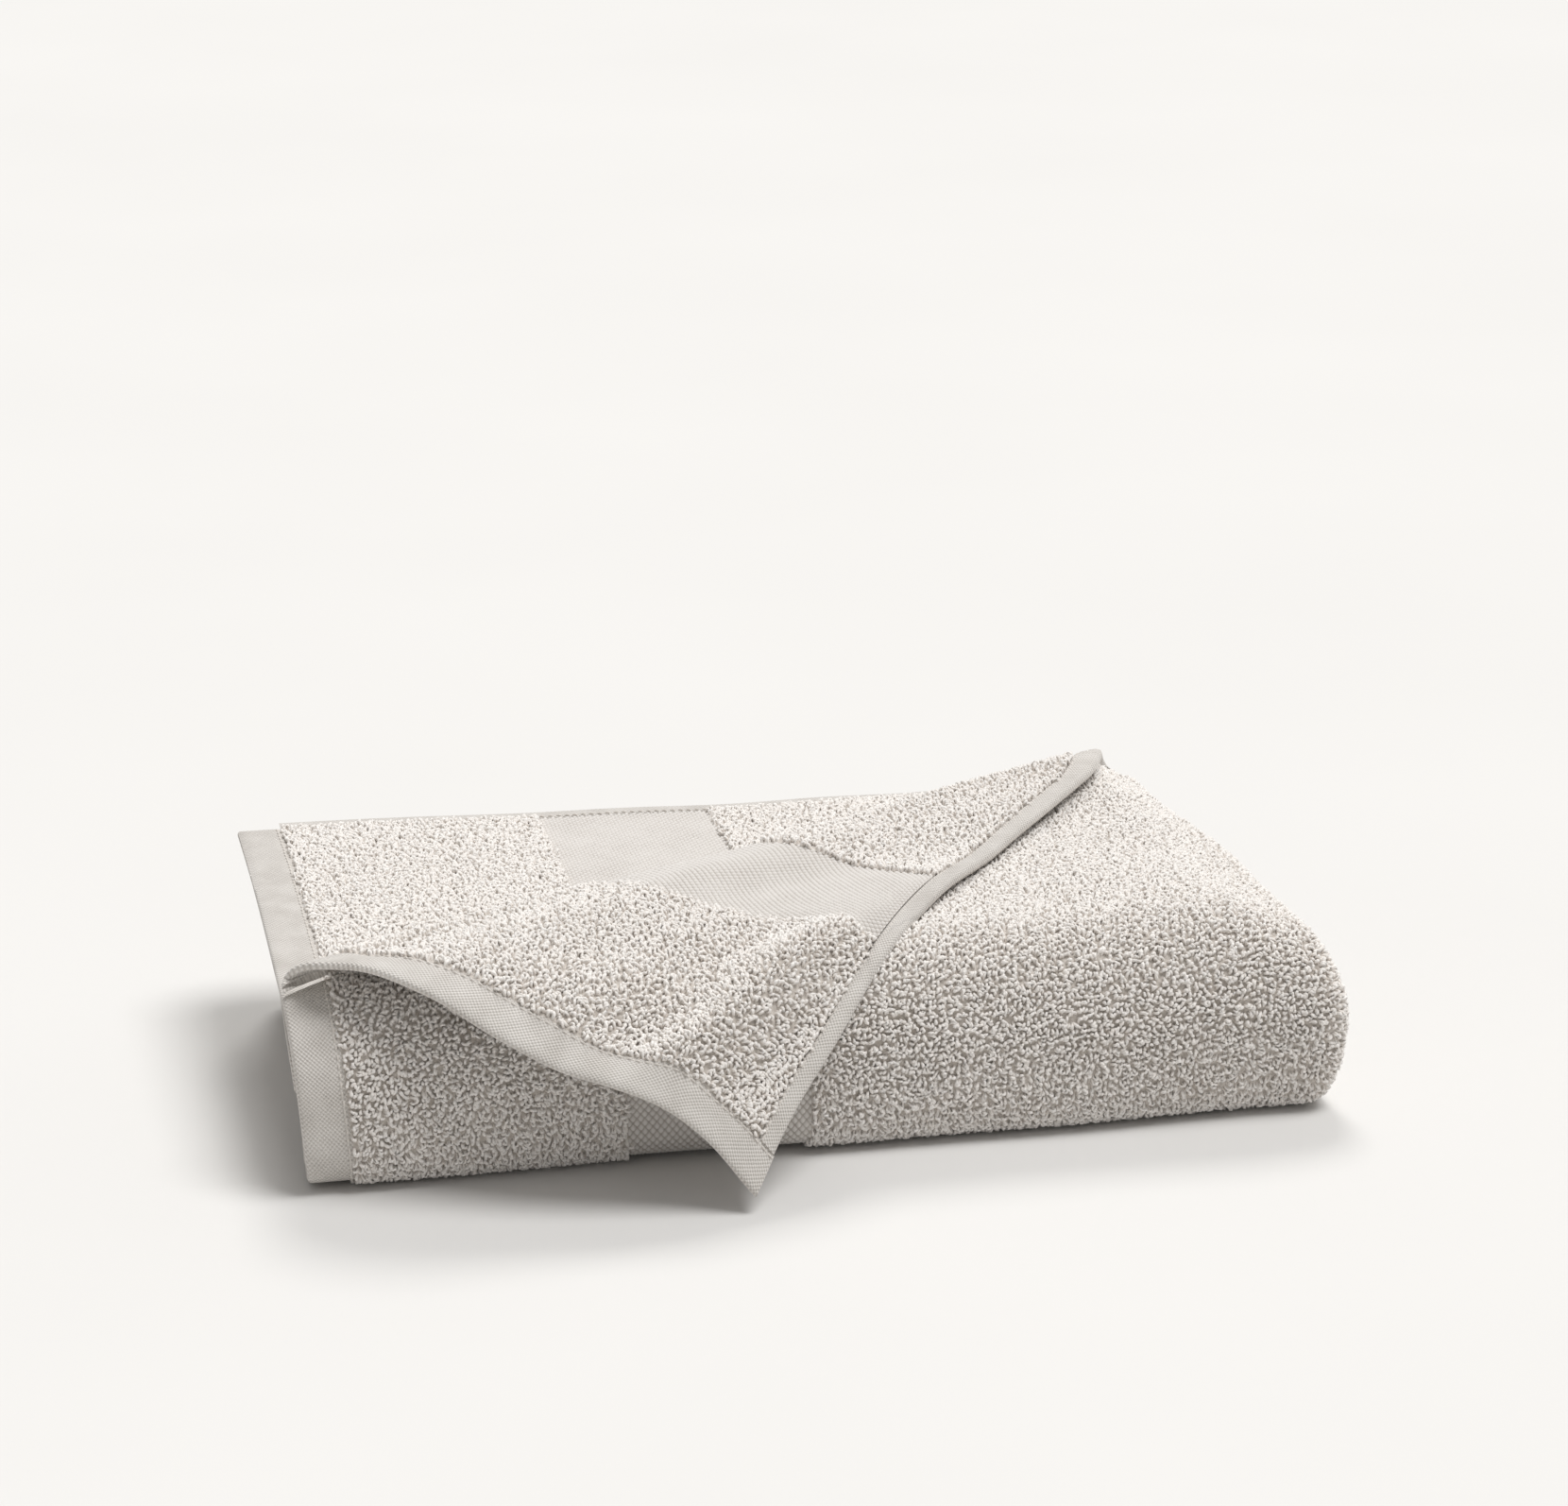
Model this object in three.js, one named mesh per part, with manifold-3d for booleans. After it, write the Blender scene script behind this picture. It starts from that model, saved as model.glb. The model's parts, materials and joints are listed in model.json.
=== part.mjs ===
// A terry bath towel folded into quarters both ways, with the back-left corner of its top layer
// turned down over the front. Millimetres, +Z up; x runs along the towel's length, y from front to
// back. Every sheet of cloth follows the folds as one long strip, so the solids hold the real cloth.

import * as THREE from "three";
import { mergeVertices } from "three/addons/utils/BufferGeometryUtils.js";
import Module from "manifold-3d";

const wasm = await Module();
wasm.setup();

// ---- Driving dimensions ----

const TOWEL_LENGTH = 1420; // from end hem to end hem
const TOWEL_WIDTH = 760; // from side hem to side hem
const QUARTERS = 4; // parts that each way of the towel is folded into
const LAYER = 4.3; // one folded layer of terry, pile included
const BAND_THICKNESS = 2.4; // honeycomb band, which has no pile
const HEM_THICKNESS = 2.9; // plain cloth turned in and sewn down
const END_HEM = 16.5; // width of the hem across each end
const SIDE_HEM = 7.7; // width of the hem along each side
const BAND_START = 109; // from the end edge to the honeycomb band
const BAND_WIDTH = 63;
const STITCH_INSET = 1.6; // from the hem's inner edge to its row of stitches
const STITCH_WIDTH = 1;
const STITCH_HEIGHT = 0.2;
const LEFT_FOLD_RECESS = 8; // how far the folds at the left lie behind the end hems
const CREASE_START = 21; // where the turned corner's crease leaves the left edge, from the front
const CREASE_END = 330; // where it reaches the back edge, from the left
const TIP_CLEARANCE = 3; // under the hanging corner
const GAP = 0.3; // between neighbouring pieces
const ARC_STEPS = 4; // half the number of steps in a half turn

// ---- Sizes that follow ----

const WIDTH = TOWEL_LENGTH / QUARTERS;
const DEPTH = TOWEL_WIDTH / QUARTERS;
const HEIGHT = QUARTERS * QUARTERS * LAYER;
const FRONT_ROLL = HEIGHT / 2; // outer radius of the last fold, at the front
const BACK_ROLL = HEIGHT / 4; // outer radius of the fold before it, at the lower back
const HALF_TURN = Math.PI;
const RIGHT_FOLD = 2 * LAYER; // how far the folds at the right stand out
const PANEL_END = WIDTH - RIGHT_FOLD;
const INNER_PANEL_START = LEFT_FOLD_RECESS + LAYER;
const STITCH_ROOM = GAP / 2 + STITCH_HEIGHT + GAP; // over a hem, inside its own layer
const BAND_END = BAND_START + BAND_WIDTH;
const SHEETS = ["outer", "second", "third", "fourth"];
const LOWER_SHEETS = ["eighth", "seventh", "sixth", "fifth"];

// What each cloth takes of its layer: how deep its outer face lies, and its thickness.
const CLOTHS = {
  terry: { depth: GAP / 2, thickness: LAYER - GAP },
  band: { depth: (LAYER - BAND_THICKNESS) / 2, thickness: BAND_THICKNESS },
  hem: { depth: STITCH_ROOM, thickness: HEM_THICKNESS },
  thread: { depth: GAP / 2, thickness: STITCH_HEIGHT },
};

const ZONES = [
  { name: "end_hem", from: 0, to: END_HEM, cloth: "hem" },
  { name: "terry_strip", from: END_HEM, to: BAND_START, cloth: "terry" },
  { name: "dobby_band", from: BAND_START, to: BAND_END, cloth: "band" },
  { name: "terry_main", from: BAND_END, to: PANEL_END, cloth: "terry" },
];

// ---- The crease and the drape of the turned corner ----

const CREASE_ANGLE = Math.atan2(DEPTH - CREASE_START, CREASE_END);
const CREASE_DIRECTION = new THREE.Vector2(Math.cos(CREASE_ANGLE), Math.sin(CREASE_ANGLE));
const CREASE_POINT = new THREE.Vector2(0, CREASE_START);
const CREASE_TAKE_UP = (HALF_TURN * LAYER) / 2; // cloth that the crease's own half turn uses
const CREASE_LENGTH = Math.hypot(CREASE_END, DEPTH - CREASE_START);

// The corner hangs in a plane that touches the front roll and ends just above the ground. Its
// slope solves (reach + roll) sin(slope) + roll cos(slope) = drop + roll.
const TIP_REACH = -turnedPoint(0, DEPTH).y;
const TIP_DROP = HEIGHT - TIP_CLEARANCE;
const SLOPE_SIZE = Math.hypot(TIP_REACH + FRONT_ROLL, FRONT_ROLL);
const SLOPE_SHIFT = Math.atan2(FRONT_ROLL, TIP_REACH + FRONT_ROLL);
const DRAPE_ANGLE = Math.asin(Math.min(1, (TIP_DROP + FRONT_ROLL) / SLOPE_SIZE)) - SLOPE_SHIFT;
const BEND = FRONT_ROLL * (1 - Math.tan(DRAPE_ANGLE / 2)); // y of the line where the drape starts

// A point of the top layer behind the crease, given where it lay before it was turned.
function turnedPoint(x, y) {
  const offset = new THREE.Vector2(x, y).sub(CREASE_POINT);
  const along = offset.dot(CREASE_DIRECTION);
  const behind = CREASE_DIRECTION.cross(offset) - CREASE_TAKE_UP;
  return new THREE.Vector2(
    CREASE_POINT.x + along * CREASE_DIRECTION.x + behind * CREASE_DIRECTION.y,
    CREASE_POINT.y + along * CREASE_DIRECTION.y - behind * CREASE_DIRECTION.x,
  );
}

// ---- Materials ----

const CLOTH_LOOKS = {
  terry: { color: 0xd2cac2, roughness: 0.95, metalness: 0 },
  band: { color: 0xccc4bb, roughness: 0.9, metalness: 0 },
  hem: { color: 0xd9d2cb, roughness: 0.85, metalness: 0 },
  thread: { color: 0xdcd6cf, roughness: 0.7, metalness: 0 },
};

function clothMesh(name, geometry, cloth) {
  const mesh = new THREE.Mesh(geometry, new THREE.MeshStandardMaterial(CLOTH_LOOKS[cloth]));
  mesh.name = name;
  return mesh;
}

// ---- Joining and cutting ----

function toSolid(geometry) {
  const bare = geometry.index ? geometry.toNonIndexed() : geometry.clone();
  bare.deleteAttribute("normal");
  bare.deleteAttribute("uv");
  const merged = mergeVertices(bare);
  const mesh = new wasm.Mesh({
    numProp: 3,
    vertProperties: new Float32Array(merged.attributes.position.array),
    triVerts: new Uint32Array(merged.index.array),
  });
  return new wasm.Manifold(mesh);
}

function toGeometry(solid) {
  const mesh = solid.getMesh();
  const geometry = new THREE.BufferGeometry();
  geometry.setAttribute("position", new THREE.BufferAttribute(mesh.vertProperties, 3));
  geometry.setIndex(new THREE.BufferAttribute(mesh.triVerts, 1));
  geometry.computeVertexNormals();
  return geometry;
}

// ---- Outlines ----

// Keeps the part of a convex outline where the dot product with a direction is at least the limit.
function clipOutline(points, direction, limit) {
  const kept = [];
  points.forEach((point, index) => {
    const next = points[(index + 1) % points.length];
    const here = point.dot(direction) - limit;
    const there = next.dot(direction) - limit;
    if (here >= 0) {
      kept.push(point.clone());
    }
    if (here * there < 0) {
      kept.push(point.clone().lerp(next, here / (here - there)));
    }
  });
  return kept;
}

function rectangle(x0, x1, y0, y1) {
  return [
    new THREE.Vector2(x0, y0),
    new THREE.Vector2(x1, y0),
    new THREE.Vector2(x1, y1),
    new THREE.Vector2(x0, y1),
  ];
}

function extrude(points, depth) {
  return new THREE.ExtrudeGeometry(new THREE.Shape(points), { depth, bevelEnabled: false });
}

// Turns a profile drawn in y and z, and extruded along its own axis, so that it runs along x.
function alongX(geometry, start) {
  const turn = new THREE.Matrix4().makeBasis(
    new THREE.Vector3(0, 1, 0),
    new THREE.Vector3(0, 0, 1),
    new THREE.Vector3(1, 0, 0),
  );
  return geometry.applyMatrix4(turn).translate(start, 0, 0);
}

// ---- Cloth that follows the folds ----

// A half turn, left out where it would be too tight to matter.
function addTurn(line, y, z, radius, from, to, clockwise) {
  if (radius > GAP) {
    line.absarc(y, z, radius, from, to, clockwise);
  }
}

// The line that lies a given depth under the towel's outer face, from the top layer's back edge
// round the front, along the ground, up round the lower back and to the middle of the stack.
function foldLine(depth, backEdge) {
  const line = new THREE.Path();
  const down = -HALF_TURN / 2;
  const up = HALF_TURN / 2;
  line.moveTo(backEdge, HEIGHT - depth);
  line.lineTo(FRONT_ROLL, HEIGHT - depth);
  addTurn(line, FRONT_ROLL, FRONT_ROLL, FRONT_ROLL - depth, up, up + HALF_TURN, false);
  line.lineTo(DEPTH - BACK_ROLL, depth);
  addTurn(line, DEPTH - BACK_ROLL, BACK_ROLL, BACK_ROLL - depth, down, up, false);
  line.lineTo(FRONT_ROLL, HEIGHT / 2 - depth);
  addTurn(line, FRONT_ROLL, FRONT_ROLL, depth, up + HALF_TURN, up, true);
  line.lineTo(FRONT_ROLL, HEIGHT / 2 + depth);
  line.lineTo(backEdge, HEIGHT / 2 + depth);
  return line.getPoints(ARC_STEPS);
}

function foldedOutline(outerDepth, innerDepth, backEdge) {
  return [...foldLine(outerDepth, backEdge), ...foldLine(innerDepth, backEdge).reverse()];
}

function foldedStrip(outerDepth, innerDepth, from, to) {
  const backEdge = DEPTH - SIDE_HEM - GAP;
  return alongX(extrude(foldedOutline(outerDepth, innerDepth, backEdge), to - from), from);
}

// Behind the crease the top layer is turned away. This wedge takes it off down to the second layer.
function behindCrease() {
  const reach = WIDTH;
  const outline = clipOutline(
    rectangle(-reach, reach, -reach, reach),
    new THREE.Vector2(-CREASE_DIRECTION.y, CREASE_DIRECTION.x),
    CREASE_POINT.y * CREASE_DIRECTION.x,
  );
  const floor = HEIGHT / 2 + 2 * LAYER;
  return toSolid(extrude(outline, HEIGHT).translate(0, 0, floor));
}

// One stretch of a sheet. The outer sheet's loses what is turned away with the corner.
function sheetPiece(sheet, name, cloth, from, to) {
  const { depth, thickness } = CLOTHS[cloth];
  const outerDepth = sheet * LAYER + depth;
  const geometry = foldedStrip(outerDepth, outerDepth + thickness, from, to);
  const kept = sheet === 0 ? toGeometry(toSolid(geometry).subtract(behindCrease())) : geometry;
  return clothMesh(`${SHEETS[sheet]}_${name}`, kept, cloth);
}

// A rounded edge that runs round all the folds, made of the sheets between two depths.
function roundedFold(outerDepth, innerDepth, standOut, inset) {
  const geometry = new THREE.ExtrudeGeometry(
    new THREE.Shape(foldedOutline(outerDepth, innerDepth, DEPTH)),
    {
      depth: GAP,
      bevelThickness: standOut,
      bevelSize: inset,
      bevelOffset: -inset,
      bevelSegments: 2,
    },
  );
  return alongX(geometry, 0);
}

// Keeps one half of a rounded fold: the half on the far side of x = 0 from the panels.
function halfFold(solid, side) {
  const reach = 2 * WIDTH;
  const half = new THREE.BoxGeometry(reach, reach, reach).translate((side * reach) / 2, 0, 0);
  return solid.intersect(toSolid(half));
}

function leftFold() {
  const solid = toSolid(roundedFold(2 * LAYER + GAP / 2, 4 * LAYER - GAP / 2, LAYER, LAYER * 0.7));
  const geometry = toGeometry(halfFold(solid, -1)).translate(INNER_PANEL_START, 0, 0);
  return clothMesh("left_fold", geometry, "terry");
}

function rightFolds() {
  const core = [LAYER + GAP / 2, 3 * LAYER - GAP / 2];
  const clear = [LAYER - GAP / 2, 3 * LAYER + GAP / 2];
  const outer = toSolid(roundedFold(GAP / 2, 4 * LAYER - GAP / 2, 2 * LAYER - GAP, LAYER * 1.4));
  const inner = toSolid(roundedFold(...core, LAYER - GAP, LAYER * 0.7));
  const hollow = toSolid(roundedFold(...clear, LAYER, LAYER * 0.7));
  const pieces = { right_fold_outer: outer.subtract(hollow), right_fold_inner: inner };
  return Object.entries(pieces).map(([name, solid]) => {
    const geometry = toGeometry(halfFold(solid, 1)).translate(PANEL_END + GAP / 2, 0, 0);
    return clothMesh(name, geometry, "terry");
  });
}

// ---- Hems along the back ----

function sideHemOutline() {
  const radius = HEM_THICKNESS / 2;
  const outline = new THREE.Shape();
  outline.absarc(DEPTH - radius, 0, radius, -HALF_TURN / 2, HALF_TURN / 2, false);
  outline.absarc(DEPTH - SIDE_HEM + radius, 0, radius, HALF_TURN / 2, -HALF_TURN / 2, false);
  outline.closePath();
  return outline;
}

function sideHem(name, height, from) {
  const options = { depth: PANEL_END - GAP / 2 - from, bevelEnabled: false, curveSegments: ARC_STEPS };
  const geometry = alongX(new THREE.ExtrudeGeometry(sideHemOutline(), options), from);
  return clothMesh(name, geometry.translate(0, 0, height), "hem");
}

function sideHems() {
  const hems = [];
  SHEETS.forEach((sheet, index) => {
    const from = index < 2 ? GAP / 2 : INNER_PANEL_START + GAP;
    const depth = index * LAYER + CLOTHS.hem.depth + HEM_THICKNESS / 2;
    hems.push(sideHem(`${sheet}_side_hem`, HEIGHT - depth, from));
    hems.push(sideHem(`${LOWER_SHEETS[index]}_side_hem`, HEIGHT / 2 + depth, from));
  });
  const outer = hems[0];
  outer.geometry = toGeometry(toSolid(outer.geometry).subtract(behindCrease()));
  return hems;
}

// ---- Rows of stitches on the folded sheets ----

function endHemStitching(sheet) {
  const to = END_HEM - STITCH_INSET;
  return sheetPiece(sheet, "end_hem_stitching", "thread", to - STITCH_WIDTH, to);
}

function secondSideHemStitching() {
  const { depth, thickness } = CLOTHS.thread;
  const front = DEPTH - SIDE_HEM + STITCH_INSET;
  const row = rectangle(END_HEM, PANEL_END - GAP, front, front + STITCH_WIDTH);
  const geometry = extrude(row, thickness).translate(0, 0, HEIGHT - LAYER - depth - thickness);
  return clothMesh("second_side_hem_stitching", geometry, "thread");
}

// ---- The crease ----

// The half turn of cloth along the crease, split where the cloth's weave changes.
function creasePiece(zone) {
  const outline = new THREE.Shape();
  const radius = (LAYER + CLOTHS[zone.cloth].thickness) / 2;
  outline.absarc(0, 0, radius, 0, HALF_TURN, false);
  outline.closePath();
  const options = { depth: 2 * CREASE_LENGTH, bevelEnabled: false, curveSegments: ARC_STEPS };
  const roll = new THREE.ExtrudeGeometry(outline, options).translate(0, GAP, -CREASE_LENGTH);
  const turn = new THREE.Matrix4().makeBasis(
    new THREE.Vector3(0, 0, 1),
    new THREE.Vector3(-CREASE_DIRECTION.y, CREASE_DIRECTION.x, 0),
    new THREE.Vector3(-CREASE_DIRECTION.x, -CREASE_DIRECTION.y, 0),
  );
  roll.applyMatrix4(turn).translate(CREASE_POINT.x, CREASE_POINT.y, HEIGHT);
  const span = extrude(rectangle(zone.from + GAP / 2, zone.to - GAP / 2, 0, DEPTH), 2 * HEIGHT);
  const geometry = toGeometry(toSolid(roll).intersect(toSolid(span)));
  return clothMesh(`crease_${zone.name}`, geometry, zone.cloth);
}

// ---- The turned corner ----

const FLAP_PIECES = [
  ...ZONES.map((zone) => ({ ...zone, front: 0, back: DEPTH - SIDE_HEM })),
  {
    name: "side_hem",
    from: END_HEM,
    to: WIDTH,
    front: DEPTH - SIDE_HEM,
    back: DEPTH,
    cloth: "hem",
  },
];
FLAP_PIECES[0].back = DEPTH; // the end hem runs across the end of the side hem

const STITCH_ROWS = [
  {
    name: "end_hem_stitching",
    from: END_HEM - STITCH_INSET - STITCH_WIDTH,
    to: END_HEM - STITCH_INSET,
    front: 0,
    back: DEPTH - GAP,
    cloth: "thread",
  },
  {
    name: "side_hem_stitching",
    from: END_HEM,
    to: WIDTH,
    front: DEPTH - SIDE_HEM + STITCH_INSET,
    back: DEPTH - SIDE_HEM + STITCH_INSET + STITCH_WIDTH,
    cloth: "thread",
  },
];

// The outline that a piece of the top layer has once it is turned down over the crease.
function turnedOutline(piece) {
  const flat = rectangle(
    piece.from + GAP / 2,
    piece.to - GAP / 2,
    piece.front + GAP / 2,
    piece.back - GAP / 2,
  );
  const behind = new THREE.Vector2(-CREASE_DIRECTION.y, CREASE_DIRECTION.x);
  const limit = CREASE_POINT.y * CREASE_DIRECTION.x + CREASE_TAKE_UP + GAP;
  const kept = clipOutline(flat, behind, limit);
  return kept.map((point) => turnedPoint(point.x, point.y)).reverse();
}

// A piece of the turned corner. Its cloth lies on the stack, and its thread on the hems.
function turnedPiece(piece, part) {
  const upwards = part === "upper" ? 1 : -1;
  const clip = new THREE.Vector2(0, upwards);
  const outline = clipOutline(turnedOutline(piece), clip, upwards * BEND + GAP / 2);
  if (outline.length < 3) {
    return [];
  }
  const base = GAP / 2 + (piece.cloth === "thread" ? HEM_THICKNESS + GAP : 0);
  const geometry = extrude(outline, CLOTHS[piece.cloth].thickness).translate(0, -BEND, base);
  return [clothMesh(`flap_${piece.name}_${part}`, geometry, piece.cloth)];
}

function turnedPieces(part) {
  return [...FLAP_PIECES, ...STITCH_ROWS].flatMap((piece) => turnedPiece(piece, part));
}

// ---- The towel ----

function foldedStack() {
  const stack = new THREE.Group();
  ZONES.forEach((zone) => {
    [0, 1].forEach((sheet) => {
      const ends = [zone.from + GAP / 2, zone.to - GAP / 2];
      stack.add(sheetPiece(sheet, zone.name, zone.cloth, ...ends));
    });
    stack.add(creasePiece(zone));
  });
  [2, 3].forEach((sheet) => {
    const ends = [INNER_PANEL_START + GAP, PANEL_END - GAP / 2];
    stack.add(sheetPiece(sheet, "terry_panel", "terry", ...ends));
  });
  stack.add(leftFold());
  stack.add(...rightFolds());
  stack.add(...sideHems());
  stack.add(endHemStitching(0));
  stack.add(endHemStitching(1));
  stack.add(secondSideHemStitching());
  return stack;
}

// The turned corner lies on the stack, and its tip hangs from the bend at the front.
function cornerFlap() {
  const flap = new THREE.Group();
  flap.position.set(0, BEND, HEIGHT);
  flap.add(...turnedPieces("upper"));
  const tip = new THREE.Group();
  tip.rotation.x = DRAPE_ANGLE;
  tip.add(...turnedPieces("lower"));
  flap.add(tip);
  return flap;
}

// The origin is the middle of the footprint, on the ground.
function towel() {
  const group = new THREE.Group();
  group.add(foldedStack());
  group.add(cornerFlap());
  group.updateMatrixWorld(true);
  const box = new THREE.Box3().setFromObject(group, true);
  const centre = box.getCenter(new THREE.Vector3());
  group.position.set(-centre.x, -centre.y, -box.min.z);
  group.updateMatrixWorld(true);
  return group;
}

export default towel();
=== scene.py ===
"""A folded terry bath towel with one corner turned down: cloth, hems, loops and light."""
import json
import math

import bpy
import numpy as np
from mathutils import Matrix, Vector


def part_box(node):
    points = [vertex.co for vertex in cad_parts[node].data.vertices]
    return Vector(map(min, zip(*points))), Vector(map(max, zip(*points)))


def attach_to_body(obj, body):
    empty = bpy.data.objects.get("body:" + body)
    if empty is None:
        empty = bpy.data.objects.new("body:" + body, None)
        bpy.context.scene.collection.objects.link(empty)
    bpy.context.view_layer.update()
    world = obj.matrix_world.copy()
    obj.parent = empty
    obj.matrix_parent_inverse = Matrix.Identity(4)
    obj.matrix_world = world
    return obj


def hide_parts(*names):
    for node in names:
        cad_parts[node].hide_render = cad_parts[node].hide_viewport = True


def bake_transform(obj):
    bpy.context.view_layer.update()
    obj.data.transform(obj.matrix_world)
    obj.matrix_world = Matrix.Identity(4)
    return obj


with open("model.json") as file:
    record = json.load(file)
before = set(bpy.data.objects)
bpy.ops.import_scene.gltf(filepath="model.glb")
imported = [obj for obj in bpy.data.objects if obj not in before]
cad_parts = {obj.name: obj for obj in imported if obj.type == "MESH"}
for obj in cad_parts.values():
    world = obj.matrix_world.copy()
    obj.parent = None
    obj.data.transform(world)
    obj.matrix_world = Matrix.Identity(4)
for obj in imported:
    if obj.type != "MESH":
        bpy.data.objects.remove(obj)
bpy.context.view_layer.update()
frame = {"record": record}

# ---- The towel's own frame, in millimetres from the stack's front left corner on the ground ----

MM = 0.001


def cad_box(node):
    low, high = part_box(node)
    return np.array(low), np.array(high)


ORIGIN = np.array([cad_box("second_end_hem")[0][0], cad_box("right_fold_outer")[0][1], 0.0])


def local(point):
    """A place in the row frame, in this script's millimetres."""
    return (np.array(point) - ORIGIN) / MM


def to_metres(points):
    return points * MM + ORIGIN


HEIGHT = local(cad_box("outer_terry_main")[1])[2]
WIDTH = local(cad_box("right_fold_outer")[1])[0]
DEPTH = local(cad_box("second_side_hem")[1])[1]
LAYER = HEIGHT / 16
FRONT_ROLL = HEIGHT / 2
BACK_ROLL = HEIGHT / 4
END_HEM = local(cad_box("second_end_hem")[1])[0]
BAND_START = local(cad_box("second_dobby_band")[0])[0]
BAND_END = local(cad_box("second_dobby_band")[1])[0]
PANEL_END = local(cad_box("second_terry_main")[1])[0]
SIDE_HEM = DEPTH - local(cad_box("second_side_hem")[0])[1]
LEFT_FOLD = local(cad_box("left_fold")[0])[0]

JOINTS = {joint["name"]: joint for joint in frame["record"]["behaviour"]["joints"]}
CREASE = JOINTS["corner_fold"]
CREASE_MIDDLE = local(CREASE["pos_m"])[:2]
AXIS = np.array(CREASE["axis"][:2])
CREASE_START = np.array([0.0, CREASE_MIDDLE[1] - CREASE_MIDDLE[0] * AXIS[1] / AXIS[0]])
FOLD_OVERRUN = 9  # the soft fold comes out at the back this far to the right of the hinge's line
CREASE_END = (DEPTH - CREASE_START[1]) * AXIS[0] / AXIS[1] + FOLD_OVERRUN
CREASE_ALONG = np.array([CREASE_END, DEPTH - CREASE_START[1]])
CREASE_ALONG = CREASE_ALONG / np.hypot(*CREASE_ALONG)
CREASE_FRONT = np.array([CREASE_ALONG[1], -CREASE_ALONG[0]])
CREASE_SLOPE = CREASE_ALONG[1] / CREASE_ALONG[0]

# ---- Sizes of the cloth itself ----

PILE = 2.2  # loops stand this far out of the ground cloth
PILE_PITCH = 1.5  # from loop to loop
YARN = 0.56  # radius of a loop's yarn
GROUND_CLOTH = 1.2  # half the thickness of the cloth that the loops stand on
BAND_HALF = 1.1  # half the honeycomb band's thickness
HEM_HALF = 1.35  # half a hem's thickness
CREASE_RADIUS = 3.4  # of the cloth's middle as it turns over the crease
HEM_PUFF = 1.8  # more than that at the stiff end hem
STITCH_LENGTH = 2.3
STITCH_PITCH = 3.0
STITCH_INSET = 1.4  # from the hem's inner edge to its row of stitches
THREAD = 0.4  # radius of the sewing thread
SEED = 20


def smooth(value, low, high):
    """0 below low, 1 above high, and a smooth step between them."""
    t = np.clip((value - low) / (high - low), 0, 1)
    return t * t * (3 - 2 * t)


def unit(vectors):
    return vectors / np.maximum(np.linalg.norm(vectors, axis=-1, keepdims=True), 1e-9)


def waves(a, b, seed, size, count=7):
    """Smooth noise between about -1 and 1, as a few crossing waves of about the given size."""
    rng = np.random.default_rng(seed)
    total = 0.0
    for _ in range(count):
        turn = rng.uniform(0, 2 * math.pi)
        pitch = size * rng.uniform(0.7, 1.6)
        phase = rng.uniform(0, 2 * math.pi)
        total = total + np.sin((a * math.cos(turn) + b * math.sin(turn)) * 2 * math.pi / pitch + phase)
    return total / math.sqrt(count)


# ---- The folded stack ----

def fold_runs(depth):
    """Lengths of a sheet's seven stretches, flat and curved, from the top back edge to its other end."""
    run = DEPTH - FRONT_ROLL
    short = run - BACK_ROLL
    return [
        run,
        math.pi * (FRONT_ROLL - depth),
        short,
        math.pi * (BACK_ROLL - depth),
        short,
        math.pi * depth,
        run,
    ]


def section(s, depth, lift):
    """y and z of a sheet's cross-section, s along it from the top back edge, lifted off its outer face."""
    runs = fold_runs(depth)
    starts = np.concatenate([[0], np.cumsum(runs)])
    s, lift = np.broadcast_arrays(np.asarray(s, float), lift)
    deep = depth - lift
    stretch = np.clip(np.searchsorted(starts, s, side="right") - 1, 0, 6)
    part = (s - starts[stretch]) / np.array(runs)[stretch]
    back = DEPTH - BACK_ROLL
    front_angle = math.pi * (0.5 + part)
    back_angle = math.pi * (part - 0.5)
    inner_angle = math.pi * (1.5 - part)
    top_y = DEPTH - part * runs[0]
    out_y = FRONT_ROLL + part * runs[2]
    home_y = back - part * runs[4]
    last_y = FRONT_ROLL + part * runs[6]
    y = np.choose(stretch, [
        top_y,
        FRONT_ROLL + (FRONT_ROLL - deep) * np.cos(front_angle),
        out_y,
        back + (BACK_ROLL - deep) * np.cos(back_angle),
        home_y,
        FRONT_ROLL + deep * np.cos(inner_angle),
        last_y,
    ])
    z = np.choose(stretch, [
        HEIGHT - deep,
        FRONT_ROLL + (FRONT_ROLL - deep) * np.sin(front_angle),
        deep,
        BACK_ROLL + (BACK_ROLL - deep) * np.sin(back_angle),
        2 * BACK_ROLL - deep,
        FRONT_ROLL + deep * np.sin(inner_angle),
        FRONT_ROLL + deep,
    ])
    return y, z


ROUND_POWER = 2.15  # of the superellipse: 2 is a circle
SQUARE_POWER = 5.0  # nearly square


def slump(y, z):
    """The front roll under its own weight: round at the top, and square where it meets the ground."""
    across = np.maximum(FRONT_ROLL - y, 0)
    up = z - FRONT_ROLL
    reach = np.hypot(across, up) + 1e-9
    power = np.where(up > 0, ROUND_POWER, SQUARE_POWER)
    grown = ((across / reach) ** power + (np.abs(up) / reach) ** power) ** (-1 / power)
    grown = np.where(y < FRONT_ROLL, grown, 1.0)
    return FRONT_ROLL - (FRONT_ROLL - y) * grown, FRONT_ROLL + up * grown


LEAN_IN = 15  # of the lower left end, to the right
LEAN_OUT = 5.5  # of the upper left end, to the left
RIGHT_BULGE = 3.5  # of the right end at the front, and half its height up by so much more
RIGHT_BELLY = 6
RIGHT_SLANT = 12  # of the right end's back, to the left
RIGHT_DROP = 9  # of the top at the right end
CREASE_SWELL = (1.6, 2.0)  # of the top along the crease: from its first half on, and near its far end
SWELL_WIDTH = 34
TOP_SWELL = 1.6
LEFT_BACK_RISE = 5.5
LEFT_FRONT_DROP = 2.5


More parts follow.
